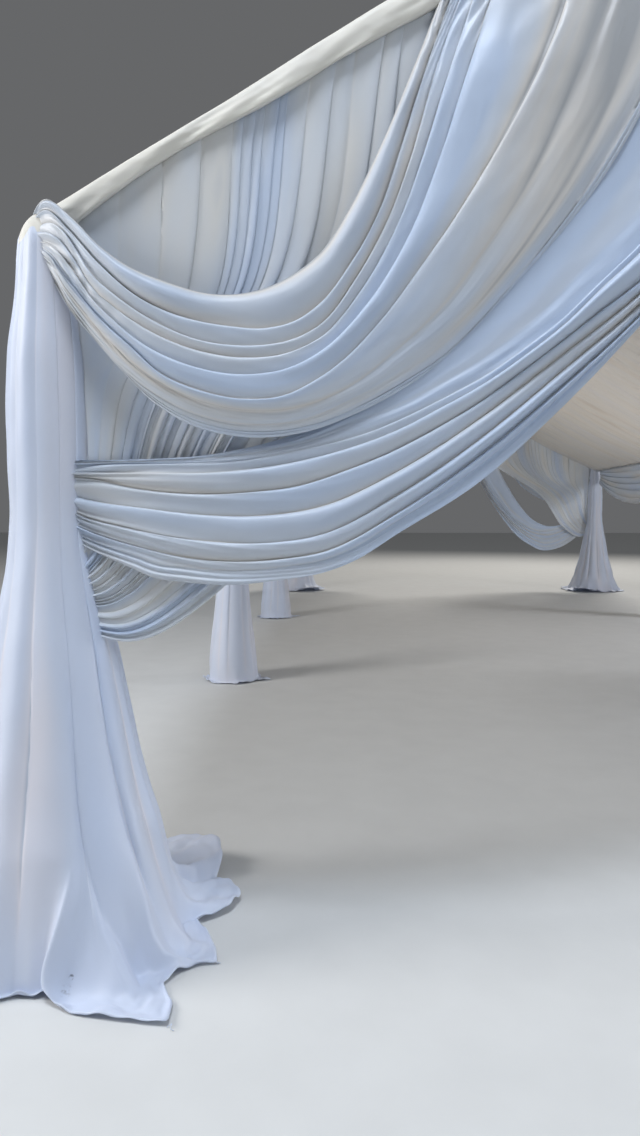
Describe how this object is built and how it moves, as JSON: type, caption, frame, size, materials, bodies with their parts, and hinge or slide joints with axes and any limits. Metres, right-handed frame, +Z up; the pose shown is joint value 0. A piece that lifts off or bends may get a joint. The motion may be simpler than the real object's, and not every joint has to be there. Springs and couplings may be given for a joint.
{
  "type": "draped gable event canopy",
  "caption": "Open-sided event canopy: a metal frame with a gable roof, fabric-wrapped legs that pool on the floor, layered swags in the gables and shallow swags along the sides",
  "frame": {"origin": "on the floor, under the middle of the canopy", "axes": "X runs across the canopy, Y runs along the ridge from the front gable at -Y to the rear gable at +Y, Z is up"},
  "size_m": [7.36, 14.9398, 4.2941],
  "materials": {
    "frame_metal": "plain mill-finish aluminium tube, covered by fabric nearly everywhere",
    "drape_fabric": "white polyester drape with a soft satin sheen, in close hanging folds",
    "roof_fabric": "white translucent roof cloth, taut over the rafters",
    "liner_fabric": "off-white gathered liner cloth under the roof"
  },
  "bodies": {
    "root": {"post_left_1": "frame_metal", "post_left_2": "frame_metal", "post_left_3": "frame_metal", "post_left_4": "frame_metal", "post_right_1": "frame_metal", "post_right_2": "frame_metal", "post_right_3": "frame_metal", "post_right_4": "frame_metal", "leg_drape_left_1": "drape_fabric", "leg_drape_left_2": "drape_fabric", "leg_drape_left_3": "drape_fabric", "leg_drape_left_4": "drape_fabric", "leg_drape_right_1": "drape_fabric", "leg_drape_right_2": "drape_fabric", "leg_drape_right_3": "drape_fabric", "leg_drape_right_4": "drape_fabric", "eave_beam_left": "frame_metal", "eave_beam_right": "frame_metal", "ridge_beam": "frame_metal", "rafter_left_1": "frame_metal", "rafter_left_2": "frame_metal", "rafter_left_3": "frame_metal", "rafter_left_4": "frame_metal", "rafter_right_1": "frame_metal", "rafter_right_2": "frame_metal", "rafter_right_3": "frame_metal", "rafter_right_4": "frame_metal", "roof_left": "roof_fabric", "roof_right": "roof_fabric", "ceiling_liner_left": "liner_fabric", "ceiling_liner_right": "liner_fabric", "front_left_curtain": "drape_fabric", "front_left_upper_swag": "drape_fabric", "front_left_lower_swag": "drape_fabric", "front_right_curtain": "drape_fabric", "front_right_upper_swag": "drape_fabric", "front_right_lower_swag": "drape_fabric", "rear_left_curtain": "drape_fabric", "rear_left_upper_swag": "drape_fabric", "rear_left_lower_swag": "drape_fabric", "rear_right_curtain": "drape_fabric", "rear_right_upper_swag": "drape_fabric", "rear_right_lower_swag": "drape_fabric", "side_swag_left_1": "drape_fabric", "side_swag_left_2": "drape_fabric", "side_swag_left_3": "drape_fabric", "side_swag_right_1": "drape_fabric", "side_swag_right_2": "drape_fabric", "side_swag_right_3": "drape_fabric"}
  },
  "joints": []
}
